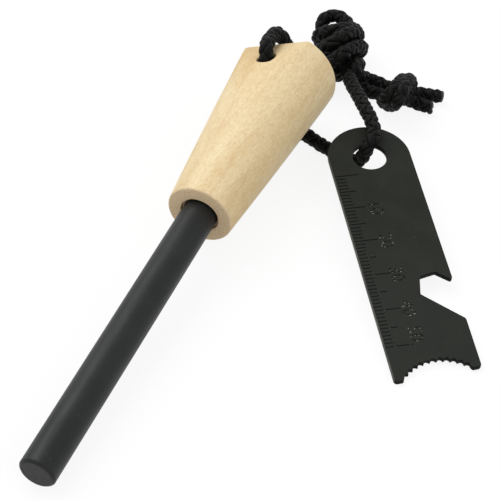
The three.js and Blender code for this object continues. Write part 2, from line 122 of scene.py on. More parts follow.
BRAID_WEAVE = 0.26
YARN_HALF_WIDTH = 0.72
YARN_HALF_THICKNESS = 0.42
YARN_SIDES = 8
YARN_STEP = 0.26
YARNS_EACH_WAY = 4
CORE_RADIUS = 1.25
LINE_STEP = 0.2
CORE_SIDES = 12
WALK_STEPS = 40
WEAVE_STEEPNESS = 1.5
FEWEST_STEPS = 4
WELD_DISTANCE = 0.002
MELT_LENGTH = 1.0
MELT_SHRINK = 0.1

route_points = []
route_spans = {}
for stretch, stops in CORD_ROUTE.items():
    fresh = stops[1:] if route_points else stops
    first = max(len(route_points) - 1, 0)
    route_points += [TABLE_BELOW_TIP + Vector(stop) for stop in fresh]
    route_spans[stretch] = (first, len(route_points) - 1)


def route_point(span, share):
    """A point of the smooth curve through the whole route, between two of its listed points."""
    start = route_points[span]
    end = route_points[span + 1]
    before = route_points[span - 1] if span > 0 else 2 * start - end
    after = route_points[span + 2] if span + 2 < len(route_points) else 2 * end - start
    pull_before = math.sqrt((start - before).length)
    pull = math.sqrt((end - start).length)
    pull_after = math.sqrt((after - end).length)
    leave = (
        (start - before) / pull_before - (end - before) / (pull_before + pull) + (end - start) / pull
    ) * pull
    arrive = ((end - start) / pull - (after - start) / (pull + pull_after) + (after - end) / pull_after) * pull
    square = share * share
    cube = square * share
    return (
        (2 * cube - 3 * square + 1) * start
        + (cube - 2 * square + share) * leave
        + (3 * square - 2 * cube) * end
        + (cube - square) * arrive
    )


# The route is walked once in short equal steps, which give the cord's centre line and the way it faces.
curve_walk = [route_point(0, 0)]
lengths_at_points = [0.0]
walked = 0.0
for span in range(len(route_points) - 1):
    for step in range(1, WALK_STEPS + 1):
        here = route_point(span, step / WALK_STEPS)
        walked += (here - curve_walk[-1]).length
        curve_walk.append(here)
    lengths_at_points.append(walked)

cord_line = [curve_walk[0]]
travelled = 0.0
for before, here in zip(curve_walk, curve_walk[1:]):
    reach = (here - before).length
    while travelled + reach >= LINE_STEP * len(cord_line):
        cord_line.append(before.lerp(here, (LINE_STEP * len(cord_line) - travelled) / reach))
    travelled += reach

line_ways = []
for index in range(len(cord_line)):
    ahead = cord_line[min(index + 1, len(cord_line) - 1)]
    behind = cord_line[max(index - 1, 0)]
    line_ways.append((ahead - behind).normalized())
line_sides = [line_ways[0].cross(Vector((0, 0, 1))).normalized()]
for way, next_way in zip(line_ways, line_ways[1:]):
    carried = way.rotation_difference(next_way) @ line_sides[-1]
    line_sides.append((carried - carried.dot(next_way) * next_way).normalized())


def beside_cord(along, sideways, upward):
    """A point near the cord: so far along it, and so far to each side of its centre line."""
    index = min(max(int(along / LINE_STEP), 0), len(cord_line) - 2)
    share = along / LINE_STEP - index
    way = line_ways[index].lerp(line_ways[index + 1], min(max(share, 0), 1)).normalized()
    side = line_sides[index].lerp(line_sides[index + 1], min(max(share, 0), 1)).normalized()
    centre = cord_line[index] + (cord_line[index + 1] - cord_line[index]) * share
    return centre + side * sideways + way.cross(side) * upward


def melted(along):
    """How far the braid has run together, from 0 in the cord to 1 at its two ends."""
    nearest = min(along, lengths_at_points[-1] - along)
    return min(max(1 - nearest / MELT_LENGTH, 0), 1)


def add_yarn(mesh, yarn_map, start, end, hand, number):
    """One yarn of the braid: a flat tube that circles the core and goes over two yarns and under two."""
    steps = max(FEWEST_STEPS, round((end - start) / YARN_STEP))
    sheet = bmesh.ops.create_grid(mesh, x_segments=YARN_SIDES, y_segments=steps, size=0.5)["verts"]
    for face in {face for corner in sheet for face in corner.link_faces}:
        for loop in face.loops:
            loop[yarn_map].uv = (loop.vert.co.x + 0.5 + number, start + (loop.vert.co.y + 0.5) * (end - start))
    slope = math.atan2(2 * math.pi * BRAID_RADIUS, BRAID_LAY)
    for corner in sheet:
        around = 2 * math.pi * (corner.co.x + 0.5)
        along = start + (corner.co.y + 0.5) * (end - start)
        weave = math.cos(4 * math.pi * along / BRAID_LAY - math.pi / 4)
        weave = max(-1, min(1, WEAVE_STEEPNESS * weave)) * (1 - melted(along))
        turn = hand * 2 * math.pi * along / BRAID_LAY + 2 * math.pi * number / YARNS_EACH_WAY
        across = YARN_HALF_WIDTH * math.cos(around)
        out = BRAID_RADIUS + hand * BRAID_WEAVE * weave + YARN_HALF_THICKNESS * math.sin(around)
        out *= 1 - MELT_SHRINK * melted(along)
        turn += across * math.cos(slope) / BRAID_RADIUS
        place = along - hand * across * math.sin(slope)
        corner.co = beside_cord(place, out * math.cos(turn), out * math.sin(turn)) * MM


def add_core(mesh, start, end):
    """The plain core that fills the braid, so that nothing shows through between the yarns."""
    steps = max(FEWEST_STEPS, round((end - start) / (2 * YARN_STEP)))
    sheet = bmesh.ops.create_grid(mesh, x_segments=CORE_SIDES, y_segments=steps, size=0.5)["verts"]
    for corner in sheet:
        turn = 2 * math.pi * (corner.co.x + 0.5)
        along = start + (corner.co.y + 0.5) * (end - start)
        corner.co = beside_cord(along, CORE_RADIUS * math.cos(turn), CORE_RADIUS * math.sin(turn)) * MM


def stretch_lengths(stretch):
    """Where a stretch starts and ends along the cord, in millimetres."""
    first, last = route_spans[stretch]
    return lengths_at_points[first], lengths_at_points[last]


def braided(name, stretches):
    """The braid along some stretches of the route, as one object."""
    mesh = bmesh.new()
    yarn_map = mesh.loops.layers.uv.new("yarn")
    for start, end in stretches:
        add_core(mesh, start, end)
        for number in range(YARNS_EACH_WAY):
            add_yarn(mesh, yarn_map, start, end, 1, number)
            add_yarn(mesh, yarn_map, start, end, -1, number)
    bmesh.ops.remove_doubles(mesh, verts=mesh.verts, dist=WELD_DISTANCE * MM)
    rims = [edge for edge in mesh.edges if edge.is_boundary]
    bmesh.ops.holes_fill(mesh, edges=rims, sides=0)
    bmesh.ops.recalc_face_normals(mesh, faces=mesh.faces)
    return placed(name, mesh)


def placed(name, mesh, smooth=True):
    """Turns a finished bmesh into an object of the scene."""
    data = bpy.data.meshes.new(name)
    mesh.to_mesh(data)
    mesh.free()
    for polygon in data.polygons:
        polygon.use_smooth = smooth
    piece = bpy.data.objects.new(name, data)
    bpy.context.scene.collection.objects.link(piece)
    return piece


class Value:
    """A number, colour or direction that a node gives. Sums, products and comparisons of values add Math nodes."""

    def __init__(self, finish, socket):
        self.finish = finish
        self.socket = socket

    def math(self, operation, *others):
        return self.finish.node("ShaderNodeMath", {"operation": operation}, dict(enumerate((self, *others))))

    def __add__(self, other):
        return self.math("ADD", other)

    __radd__ = __add__

    def __sub__(self, other):
        return self.math("SUBTRACT", other)

    def __rsub__(self, other):
        return self.finish.node("ShaderNodeMath", {"operation": "SUBTRACT"}, {0: other, 1: self})

    def __mul__(self, other):
        return self.math("MULTIPLY", other)

    __rmul__ = __mul__

    def __lt__(self, other):
        return self.math("LESS_THAN", other)

    def __gt__(self, other):
        return self.math("GREATER_THAN", other)


class Shading:
    """The nodes of a material, or of the room round the part. Each is made by the one method, node."""

    def __init__(self, owner):
        owner.use_nodes = True
        self.tree = owner.node_tree
        self.tree.nodes.clear()

    def fill(self, socket, value):
        if isinstance(value, Value):
            self.tree.links.new(value.socket, socket)
        else:
            socket.default_value = value

    def node(self, kind, settings, inputs, output=0):
        """Adds a node, makes its settings, fills or links its sockets, and returns one of its outputs."""
        made = self.tree.nodes.new(kind)
        for name, setting in settings.items():
            setattr(made, name, setting)
        for name, value in inputs.items():
            self.fill(made.inputs[name], value)
        return Value(self, made.outputs[output]) if made.outputs else None


class Finish(Shading):
    """A material, with the patterns that give it its colour, gloss and relief."""

    def __init__(self, name):
        self.material = bpy.data.materials.new(name)
        super().__init__(self.material)

    def coordinates(self, place=(0, 0, 0), turn=(0, 0, 0)):
        """Object coordinates in millimetres, seen from a piece's own place and turn."""
        own = self.node("ShaderNodeTexCoord", {}, {}, "Object")
        inputs = {"Vector": own, "Location": place, "Rotation": turn, "Scale": (MM, MM, MM)}
        return self.node("ShaderNodeMapping", {"vector_type": "TEXTURE"}, inputs)

    def stretched(self, point, scale):
        return self.node("ShaderNodeVectorMath", {"operation": "MULTIPLY"}, {0: point, 1: scale})

    def part_of(self, point, axis):
        return self.node("ShaderNodeSeparateXYZ", {}, {0: point}, axis)

    def noise(self, point, size, detail=2, rough=0.5):
        """A cloudy value from 0 to 1 whose patches are about so many millimetres across."""
        inputs = {"Vector": point, "Scale": 1 / size, "Detail": detail, "Roughness": rough}
        return self.node("ShaderNodeTexNoise", {}, inputs, "Fac")

    def between(self, value, low, high, start=0.0, end=1.0):
        """Brings a value from one range to another, and stops it at the new range's ends."""
        inputs = {"Value": value, "From Min": low, "From Max": high, "To Min": start, "To Max": end}
        return self.node("ShaderNodeMapRange", {"clamp": True}, inputs)

    def mix(self, share, first, second, blend="MIX"):
        """One colour laid over another. A Mix node keeps its colours in the sockets 6 and 7, and its result in 2."""
        settings = {"data_type": "RGBA", "blend_type": blend, "clamp_result": False}
        return self.node("ShaderNodeMix", settings, {0: share, 6: first, 7: second}, 2)

    def relief(self, height, depth, strength=1.0):
        """A bump of so many millimetres from a height between 0 and 1."""
        inputs = {"Height": height, "Distance": depth * MM, "Strength": strength}
        return self.node("ShaderNodeBump", {}, inputs)

    def surface(self, **inputs):
        """Puts the material together from the values of the shader's own sockets."""
        sockets = {name.replace("_", " ").title().replace("Ior", "IOR"): value for name, value in inputs.items()}
        shader = self.node("ShaderNodeBsdfPrincipled", {}, sockets)
        self.node("ShaderNodeOutputMaterial", {}, {"Surface": shader})


def painted(red, green, blue):
    """The colour that shows as these screen values, from 0 to 255."""
    return tuple(((c / 255 + 0.055) / 1.055) ** 2.4 if c > 10 else c / 255 / 12.92 for c in (red, green, blue)) + (1,)


def black_nylon():
    finish = Finish("black braided nylon")
    yarn = finish.node("ShaderNodeUVMap", {"uv_map": "yarn"}, {})
    fibres = finish.noise(finish.stretched(yarn, (14.0, 1.1, 1.0)), 1.0, detail=3, rough=0.6)
    patches = finish.noise(finish.coordinates(), 2.2, detail=2)
    colour = finish.mix(fibres, painted(6, 6, 6), painted(19, 20, 18))
    colour = finish.mix(finish.between(patches, 0.4, 0.75), colour, painted(10, 10, 9))
    finish.surface(
        base_color=colour,
        roughness=finish.between(fibres, 0.3, 0.7, 0.42, 0.65),
        specular_ior_level=0.1,
        normal=finish.relief(fibres, 0.05, 0.8),
    )
    return finish.material


cord_finish = black_nylon()
upper_strand = braided("upper_strand", [stretch_lengths("cord_over_butt")])
lower_strand = braided(
    "lower_strand", [(stretch_lengths("cord_under_handle")[0], stretch_lengths("cord_scraper_strand")[1])]
)
knot_behind_butt = braided("knot_behind_butt", [stretch_lengths("knot_wraps"), stretch_lengths("knot_core")])
stopper = braided("stopper", [stretch_lengths("stopper_wraps"), stretch_lengths("stopper_core")])
tail_from_wraps = braided("tail_from_wraps", [stretch_lengths("cord_tail_1")])
tail_from_core = braided("tail_from_core", [stretch_lengths("cord_tail_2")])
melted_end_upper = braided("melted_end_upper", [stretch_lengths("cord_end_1")])
melted_end_lower = braided("melted_end_lower", [stretch_lengths("cord_end_2")])
cord_stands_for = {
    upper_strand: ["cord_over_butt"],
    lower_strand: ["cord_under_handle", "cord_scraper_strand"],
    knot_behind_butt: ["main_knot"],
    stopper: ["stopper_knot"],
    tail_from_wraps: ["cord_tail_1"],
    tail_from_core: ["cord_tail_2"],
    melted_end_upper: ["cord_end_1"],
    melted_end_lower: ["cord_end_2"],
}


# Melted tips
# Each cut end of the cord was held in a flame and pressed, which leaves a hard, shiny black blob over the braid.
MELT_BLOBS = {
    "melted_tip_upper": [((32.2, 149.95, 1.9), (0.55, 1.55, 1.45))],
    "melted_tip_lower": [
        ((31.1, 144.9, 2.3), (0.6, 1.15, 1.15)),
        ((31.3, 143.7, 1.5), (0.75, 0.8, 0.8)),
        ((31.0, 145.7, 1.5), (0.6, 0.75, 0.85)),
    ],
}
BLOB_TURN = math.radians(10)


def shiny_melt():
    finish = Finish("melted nylon")
    lumps = finish.noise(finish.coordinates(), 0.7, detail=2)
    finish.surface(
        base_color=finish.mix(lumps, painted(9, 9, 9), painted(24, 24, 23)),
        roughness=0.3,
        specular_ior_level=0.22,
        normal=finish.relief(lumps, 0.25, 0.7),
    )
    return finish.material


melt_finish = shiny_melt()
melted_tips = []
for name, blobs in MELT_BLOBS.items():
    mesh = bmesh.new()
    for centre, half_sizes in blobs:
        ball = bmesh.ops.create_icosphere(mesh, subdivisions=4, radius=1)["verts"]
        bmesh.ops.scale(mesh, vec=Vector(half_sizes) * MM, verts=ball)
        bmesh.ops.rotate(mesh, cent=(0, 0, 0), matrix=Matrix.Rotation(BLOB_TURN, 3, "Z"), verts=ball)
        bmesh.ops.translate(mesh, vec=(TABLE_BELOW_TIP + Vector(centre)) * MM, verts=ball)
    tip = placed(name, mesh)
    tip.data.materials.append(melt_finish)
    melted_tips.append(tip)

for piece, nodes in cord_stands_for.items():
    piece.data.materials.append(cord_finish)
    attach(piece, "lanyard")
    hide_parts(*nodes)
for tip in melted_tips:
    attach(tip, "lanyard")


def followed(start, end):
    """Points of the cord's centre line between two lengths, a millimetre apart, given in metres."""
    count = max(2, round(end - start))
    return [beside_cord(start + (end - start) * step / count, 0, 0) * MM for step in range(count + 1)]


upper_start, upper_end = stretch_lengths("cord_over_butt")
followed(upper_start, upper_end)
lower_start = stretch_lengths("cord_under_handle")[0]
lower_end = stretch_lengths("cord_scraper_strand")[1]
followed(lower_start, lower_end)


# Rod
# A cast and ground bar of ferrocerium with a thin black coating, its sharp edge broken by a small chamfer. The
# last quarter of it sits in the handle.
AXIS_RISE = math.radians(4.83)
ROD_RADIUS = 4.05
ROD_LENGTH = 101.6
ROD_SEAT_DEPTH = 25.7
ROD_CHAMFER = 0.5
TIP_EDGE_ROUNDING = 0.12
TIP_EDGE_DROP = 0.05
SIDE_EDGE_DROP = 0.1
TIP_FACE_DEPTH = 0.3
ROD_SEGMENTS = 128
ROD_CREASE = 22
FINE_WELD = 0.0005
ROD_EXPOSED = ROD_LENGTH - ROD_SEAT_DEPTH
TIP_HEIGHT = ROD_RADIUS * math.cos(AXIS_RISE) - ROD_CHAMFER * math.sin(AXIS_RISE)
HANDLE_FRONT = TABLE_BELOW_TIP + Vector(
    (0, ROD_EXPOSED * math.cos(AXIS_RISE), TIP_HEIGHT + ROD_EXPOSED * math.sin(AXIS_RISE))
)
AXIS_TURN = (AXIS_RISE - math.pi / 2, 0, 0)
AXIS_PLACE = Matrix.Translation(HANDLE_FRONT * MM) @ Matrix.Rotation(AXIS_TURN[0], 4, "X") @ Matrix.Scale(MM, 4)


def turned(profile, segments):
    """Spins a profile of (radius, distance) points round the rod's axis."""
    mesh = bmesh.new()
    corners = [mesh.verts.new((radius, 0, distance)) for radius, distance in profile]
    edges = [mesh.edges.new(pair) for pair in zip(corners, corners[1:])]
    bmesh.ops.spin(
        mesh, geom=corners + edges, cent=(0, 0, 0), axis=(0, 0, 1), angle=2 * math.pi, steps=segments, use_merge=True
    )
    bmesh.ops.remove_doubles(mesh, verts=mesh.verts, dist=FINE_WELD)
    bmesh.ops.recalc_face_normals(mesh, faces=mesh.faces)
    return mesh


def rounded(centre_radius, centre_distance, radius, start, end, steps):
    """Points of a rounded edge in a turned profile."""
    turns = [math.radians(start + (end - start) * step / steps) for step in range(steps + 1)]
    return [(centre_radius + radius * math.cos(turn), centre_distance + radius * math.sin(turn)) for turn in turns]


rod_profile = [
    (0, -ROD_EXPOSED),
    (ROD_RADIUS - ROD_CHAMFER - TIP_EDGE_ROUNDING, -ROD_EXPOSED),
    (ROD_RADIUS - ROD_CHAMFER, -ROD_EXPOSED + TIP_EDGE_DROP),
    (ROD_RADIUS - SIDE_EDGE_DROP, -ROD_EXPOSED + ROD_CHAMFER - SIDE_EDGE_DROP),
    (ROD_RADIUS, -ROD_EXPOSED + ROD_CHAMFER + TIP_EDGE_ROUNDING),
    (ROD_RADIUS, ROD_SEAT_DEPTH),
    (0, ROD_SEAT_DEPTH),
]
rod_mesh = turned(rod_profile, ROD_SEGMENTS)
rod_mesh.transform(AXIS_PLACE)
rod = placed("ferro_rod_coated", rod_mesh)


def sharpen(piece, degrees):
    """Keeps edges crisp where two faces meet at more than an angle, and smooth elsewhere."""
    piece.data.set_sharp_from_angle(angle=math.radians(degrees))


sharpen(rod, ROD_CREASE)


def black_coating():
    finish = Finish("black rod coating")
    point = finish.coordinates(HANDLE_FRONT * MM, AXIS_TURN)
    streaks = finish.noise(finish.stretched(point, (1.0, 1.0, 0.12)), 0.9, detail=3)
    clouds = finish.noise(point, 7.0, detail=3)
    specks = finish.between(finish.noise(point, 0.45, detail=1), 0.74, 0.8)
    at_tip = finish.part_of(point, "Z") < -ROD_EXPOSED + TIP_FACE_DEPTH
    colour = finish.mix(finish.between(clouds, 0.35, 0.7), painted(20, 22, 22), painted(27, 29, 29))
    colour = finish.mix(specks * 0.35, colour, painted(95, 97, 96))
    colour = finish.mix(at_tip * finish.between(clouds, 0.2, 0.6, 0.5, 1.0), colour, painted(28, 28, 27))
    finish.surface(
        base_color=colour,
        roughness=finish.between(streaks, 0.3, 0.7, 0.41, 0.51),
        specular_ior_level=0.27,
        normal=finish.relief(streaks + specks, 0.03, 0.5),
    )
    return finish.material


rod.data.materials.append(black_coating())
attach(rod, "handle")
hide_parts("ferro_rod")


# Handle
# Pale birch turned to a cone, with a rounded butt and a blind bore for the rod. A sloping flat is sanded at each
# side of the butt, and a cross hole for the cord is drilled from one flat to the other.
HANDLE_LENGTH = 52.9
FRONT_RADIUS = 7.7
BUTT_RADIUS = 12.15
SWELL = 0.15
FRONT_ROUNDING = 0.5
BUTT_ROUNDING = 1.9
BORE_RADIUS = 4.55
BORE_DEPTH = 26.3
HOLE_RADIUS = 2.3
HOLE_FROM_BUTT = 9.8
HOLE_TURN = math.radians(103)
FLAT_TURN = math.radians(115)
FLAT_SLOPE = math.radians(15.6)
FLAT_DEPTH_AT_BUTT = 4.3
FLAT_REACH = 14
FLAT_EDGE_SHARE = 0.3
CREASE_SOFTNESS = 0.5
BORE_CHAMFER = 0.12
BORE_MARGIN = 0.5
HOLE_CHAMFER = 0.3
FRONT_ROUNDING_RINGS = 6
CONE_RINGS = 16
FLAT_RINGS = 34
BUTT_ROUNDING_RINGS = 12
BUTT_RING_INSET = 0.4
HANDLE_SEGMENTS = 256
HOLE_SEGMENTS = 96
HANDLE_CREASE = 32
PLANE_TOLERANCE = 0.0001
IDLE_TURN = math.radians(2.5)
FRONT_FACE_DEPTH = 0.35
GRAIN_LEAN = math.radians(11)


def handle_radius(distance):
    share = distance / HANDLE_LENGTH
    return FRONT_RADIUS + (BUTT_RADIUS - FRONT_RADIUS) * share + SWELL * math.sin(math.pi * share)


def across(turn):
    """The direction across the axis at a turn counted from +X over the top."""
    return Vector((math.cos(turn), -math.sin(turn), 0))


butt_start = HANDLE_LENGTH - BUTT_ROUNDING
flats_start = HANDLE_LENGTH - FLAT_REACH
handle_profile = [
    (0, BORE_DEPTH),
    (BORE_RADIUS, BORE_DEPTH),
    (BORE_RADIUS, BORE_CHAMFER),
    (BORE_RADIUS + BORE_CHAMFER, 0),
]
handle_profile += rounded(
    handle_radius(FRONT_ROUNDING) - FRONT_ROUNDING, FRONT_ROUNDING, FRONT_ROUNDING, -90, 0, FRONT_ROUNDING_RINGS
)
for start, end, count in ((FRONT_ROUNDING, flats_start, CONE_RINGS), (flats_start, butt_start, FLAT_RINGS)):
    for step in range(1, count + 1):
        distance = start + (end - start) * step / count
        handle_profile.append((handle_radius(distance), distance))
handle_profile += rounded(
    handle_radius(butt_start) - BUTT_ROUNDING, butt_start, BUTT_ROUNDING, 0, 90, BUTT_ROUNDING_RINGS
)[1:]
handle_profile += [(handle_profile[-1][0] - BUTT_RING_INSET, HANDLE_LENGTH), (0, HANDLE_LENGTH)]
handle_mesh = turned(handle_profile, HANDLE_SEGMENTS)

# The flats are sanded into the turned cone: its skin sinks to each flat's plane, with a soft crease round it.
for corner in handle_mesh.verts:
    radius = corner.co.xy.length
    if radius < BORE_RADIUS + BORE_MARGIN:
        continue
    outward = corner.co.xy / radius
    side = handle_radius(min(corner.co.z, butt_start))
    inset = side - radius
    for turn in (FLAT_TURN, FLAT_TURN + math.pi):
        facing = outward.dot(across(turn).xy)
        if facing > FLAT_EDGE_SHARE:
            from_butt = HANDLE_LENGTH - corner.co.z
            to_flat = (BUTT_RADIUS - FLAT_DEPTH_AT_BUTT + from_butt * math.tan(FLAT_SLOPE)) / facing
            overlap = max(CREASE_SOFTNESS - abs(side - to_flat), 0)
            side = min(side, to_flat) - overlap * overlap / (4 * CREASE_SOFTNESS)
    corner.co.xy = outward * (side - inset)
handle = placed("birch_handle", handle_mesh)

hole_way = across(HOLE_TURN)
hole_centre = Vector((0, 0, HANDLE_LENGTH - HOLE_FROM_BUTT))
drill_mesh = bmesh.new()
bmesh.ops.create_cone(
    drill_mesh,
    cap_ends=True,
    segments=HOLE_SEGMENTS,
    radius1=HOLE_RADIUS,
    radius2=HOLE_RADIUS,
    depth=4 * BUTT_RADIUS,
)
aim = Vector((0, 0, 1)).rotation_difference(hole_way).to_matrix().to_4x4()
drill_mesh.transform(Matrix.Translation(hole_centre) @ aim)

# The drill flares where it leaves each flat, which breaks the hole's sharp rim.
for turn in (FLAT_TURN, FLAT_TURN + math.pi):
    normal = across(turn) * math.cos(FLAT_SLOPE) + Vector((0, 0, math.sin(FLAT_SLOPE)))
    on_flat = across(turn) * (BUTT_RADIUS - FLAT_DEPTH_AT_BUTT) + Vector((0, 0, HANDLE_LENGTH))
    for depth in (HOLE_CHAMFER, -HOLE_CHAMFER / 3):
        everything = drill_mesh.verts[:] + drill_mesh.edges[:] + drill_mesh.faces[:]
        bmesh.ops.bisect_plane(
            drill_mesh, geom=everything, dist=PLANE_TOLERANCE, plane_co=on_flat - normal * depth, plane_no=normal
        )
    for corner in drill_mesh.verts:
        if (corner.co - on_flat).dot(normal) > -HOLE_CHAMFER / 2:
            offset = corner.co - hole_centre
            corner.co += (offset - offset.dot(hole_way) * hole_way).normalized() * HOLE_CHAMFER
drill = placed("drill", drill_mesh)


def cut_away(piece, tool):
    """Takes one object's space out of another, removes the tool, and welds the slivers that the cut leaves."""
    cutting = piece.modifiers.new("cut", "BOOLEAN")
    cutting.operation = "DIFFERENCE"
    cutting.solver = "EXACT"
    cutting.use_self = True
    cutting.object = tool
    bpy.context.view_layer.update()
    result = piece.evaluated_get(bpy.context.evaluated_depsgraph_get())
    data = bpy.data.meshes.new_from_object(result)
    piece.modifiers.clear()
    piece.data = data
    bpy.data.objects.remove(tool)
    mesh = bmesh.new()
    mesh.from_mesh(data)
    bmesh.ops.remove_doubles(mesh, verts=mesh.verts, dist=WELD_DISTANCE)
    bmesh.ops.dissolve_degenerate(mesh, edges=mesh.edges, dist=WELD_DISTANCE)
    idle = [corner for corner in mesh.verts if len(corner.link_edges) == 2 and corner.calc_edge_angle() < IDLE_TURN]
    bmesh.ops.dissolve_verts(mesh, verts=idle)
    mesh.to_mesh(data)
    mesh.free()


cut_away(handle, drill)
handle.data.transform(AXIS_PLACE)
for polygon in handle.data.polygons:
    polygon.use_smooth = True
sharpen(handle, HANDLE_CREASE)


def pale_birch():
    finish = Finish("pale birch")
    point = finish.coordinates(HANDLE_FRONT * MM, AXIS_TURN)
    leaning = {"Vector": point, "Rotation": (0, -GRAIN_LEAN, 0)}
    grain = finish.node("ShaderNodeMapping", {"vector_type": "POINT"}, leaning)
    across_handle = finish.part_of(point, "X")
    along = finish.part_of(point, "Z")
    broad = finish.noise(finish.stretched(grain, (1.0, 1.0, 0.12)), 4.5, detail=3, rough=0.55)
    mottle = finish.noise(grain, 2.2, detail=3, rough=0.6)
    fibres = finish.noise(finish.stretched(grain, (1.0, 1.0, 0.22)), 0.3, detail=2, rough=0.6)
    flecks = finish.noise(finish.stretched(grain, (1.0, 1.0, 0.55)), 0.42, detail=2, rough=0.7)
    veins = (finish.noise(finish.stretched(grain, (1.0, 1.0, 0.1)), 6.0, detail=1) - 0.52).math("ABSOLUTE")
    tone = broad * 0.8 + mottle * 0.4
    colour = finish.mix(finish.between(tone, 0.42, 0.82), painted(237, 218, 176), painted(220, 193, 146))
    colour = finish.mix(finish.between(fibres, 0.45, 0.75) * 0.48, colour, painted(206, 174, 122))
    colour = finish.mix(finish.between(flecks, 0.56, 0.72) * 0.45, colour, painted(198, 166, 116))
    colour = finish.mix(finish.between(flecks, 0.42, 0.3) * 0.4, colour, painted(247, 232, 198))
    colour = finish.mix(finish.between(veins, 0.03, 0.0) * 0.2, colour, painted(196, 156, 104))
    warm = finish.between(along + 6 * broad, 33, 48) * finish.between(across_handle + 4 * broad, 2.5, -3)
    colour = finish.mix(warm, colour, (0.87, 0.8, 0.66, 1), "MULTIPLY")
    at_front = along < FRONT_FACE_DEPTH
    turned_rim = finish.noise(point, 0.5, detail=3, rough=0.7)
    rim_colour = finish.mix(finish.between(turned_rim, 0.3, 0.7), painted(244, 218, 181), painted(208, 180, 141))
    colour = finish.mix(at_front * 0.85, colour, rim_colour)
    finish.surface(
        base_color=colour,
        roughness=finish.between(broad, 0.3, 0.7, 0.5, 0.6),
        specular_ior_level=0.3,
        normal=finish.relief(fibres * 0.5 + flecks * 0.5, 0.05, 0.5),
    )
    return finish.material


handle.data.materials.clear()
handle.data.materials.append(pale_birch())
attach(handle, "handle")
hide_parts("handle")


# Adhesive
# A thin sleeve of cured amber resin holds the rod in its bore. It keeps the model's own solid.
def amber_resin():
    finish = Finish("cured amber resin")
    clouds = finish.noise(finish.coordinates(), 1.5, detail=2)
    finish.surface(
        base_color=finish.mix(clouds, painted(150, 112, 60), painted(182, 142, 86)),
        roughness=finish.between(clouds, 0.3, 0.7, 0.2, 0.35),
        normal=finish.relief(clouds, 0.05, 0.6),
    )
    return finish.material


for material_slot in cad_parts["rod_adhesive"].material_slots:
    material_slot.material = amber_resin()


# Scraper
# A blank of 1.2 mm steel, stamped with its hole, opener notch and toothed scoop, engraved with a ruler, then
# blackened in an oxide bath. It leans from the lanyard down to the table.
PLATE_WIDTH = 19.5
PLATE_THICKNESS = 1.2
HANG_HOLE_RADIUS = 4
RULER_ZERO_FROM_TOP = 15.05
HALF_WIDTH = PLATE_WIDTH / 2
ZERO_Y = HALF_WIDTH - RULER_ZERO_FROM_TOP
PLATE_END_ALONG = 58.45
END_SLANT = math.radians(4.1)
HOOK_ROUNDING = 0.45
HOOK_ROOT_ROUNDING = 0.25
NOTCH_ROUNDING = 0.5
RAMP_ROUNDING = 1
HORN_ROUNDING = 0.8
HORN_TIP_ROUNDING = 0.35
HORN_TIP_LEAN = 9
SCOOP_RADIUS = 10
SCOOP_DEPTH = 3.6
SCOOP_HALF_ANGLE = 46.9
TOOTH_COUNT = 10
TOOTH_DEPTH = 0.6
EDGE_BEVEL = 0.18
ARC_STEPS = 40
CORNER_STEPS = 5
STEPS_PER_SCALLOP = 8
OUTLINE_WELD = 0.004
UPRIGHT = 0.1
LEVEL = 0.9
PLATE_HEADING = math.radians(34.4)
PLATE_RISE = math.radians(6)
reach_to_table = HALF_WIDTH * math.sin(END_SLANT) - (ZERO_Y - PLATE_END_ALONG)
PLATE_CENTRE = TABLE_BELOW_TIP + Vector(
    (26.2, 113.7, reach_to_table * math.sin(PLATE_RISE) + PLATE_THICKNESS / 2 * math.cos(PLATE_RISE))
)
PLATE_TURN = (PLATE_RISE, 0, PLATE_HEADING)
PLATE_PLACE = (
    Matrix.Translation(PLATE_CENTRE * MM)
    @ Matrix.Rotation(PLATE_HEADING, 4, "Z")
    @ Matrix.Rotation(PLATE_RISE, 4, "X")
    @ Matrix.Scale(MM, 4)
)


def along_ruler(distance, in_from_right):
    """A place on the plate, by its ruler distance and its depth from the right edge."""
    return Vector((HALF_WIDTH - in_from_right, ZERO_Y - distance))


def head_arc(radius, start, end):
    """Part of a circle round the hanging hole's centre."""
    return [Vector(point) for point in rounded(0, 0, radius, start, end, ARC_STEPS)]


def soft_corner(before, corner, after, radius, steps=CORNER_STEPS):
    """The rounding of one corner of the plate's outline."""
    back = (before - corner).normalized()
    ahead = (after - corner).normalized()
    half = math.acos(max(-1, min(1, back.dot(ahead)))) / 2
    centre = corner + (back + ahead).normalized() * radius / math.sin(half)
    start = corner + back * radius / math.tan(half) - centre
    end = corner + ahead * radius / math.tan(half) - centre
    turn = start.angle_signed(end)
    return [centre + Matrix.Rotation(-turn * step / steps, 2) @ start for step in range(steps + 1)]


hook_edge = along_ruler(32.9, 0)
hook_tip = along_ruler(33.8, 0.3)
notch_apex = along_ruler(31.07, 3.48)
notch_upper = along_ruler(31.93, 7.13)
notch_lower = along_ruler(36.75, 8.16)
ramp_end = along_ruler(44.7, 0)
right_side = soft_corner(along_ruler(0, 0), hook_edge, hook_tip, HOOK_ROUNDING)
right_side += soft_corner(hook_edge, hook_tip, notch_apex, HOOK_ROUNDING)
right_side += soft_corner(hook_tip, notch_apex, notch_upper, HOOK_ROOT_ROUNDING, CORNER_STEPS - 2)
right_side += soft_corner(notch_apex, notch_upper, notch_lower, NOTCH_ROUNDING)
right_side += soft_corner(notch_upper, notch_lower, ramp_end, NOTCH_ROUNDING)
right_side += soft_corner(notch_lower, ramp_end, along_ruler(PLATE_END_ALONG, 0), RAMP_ROUNDING)

end_y = ZERO_Y - PLATE_END_ALONG
pivot = Vector((0, end_y))
inner_x = (SCOOP_RADIUS + TOOTH_DEPTH) * math.sin(math.radians(SCOOP_HALF_ANGLE))


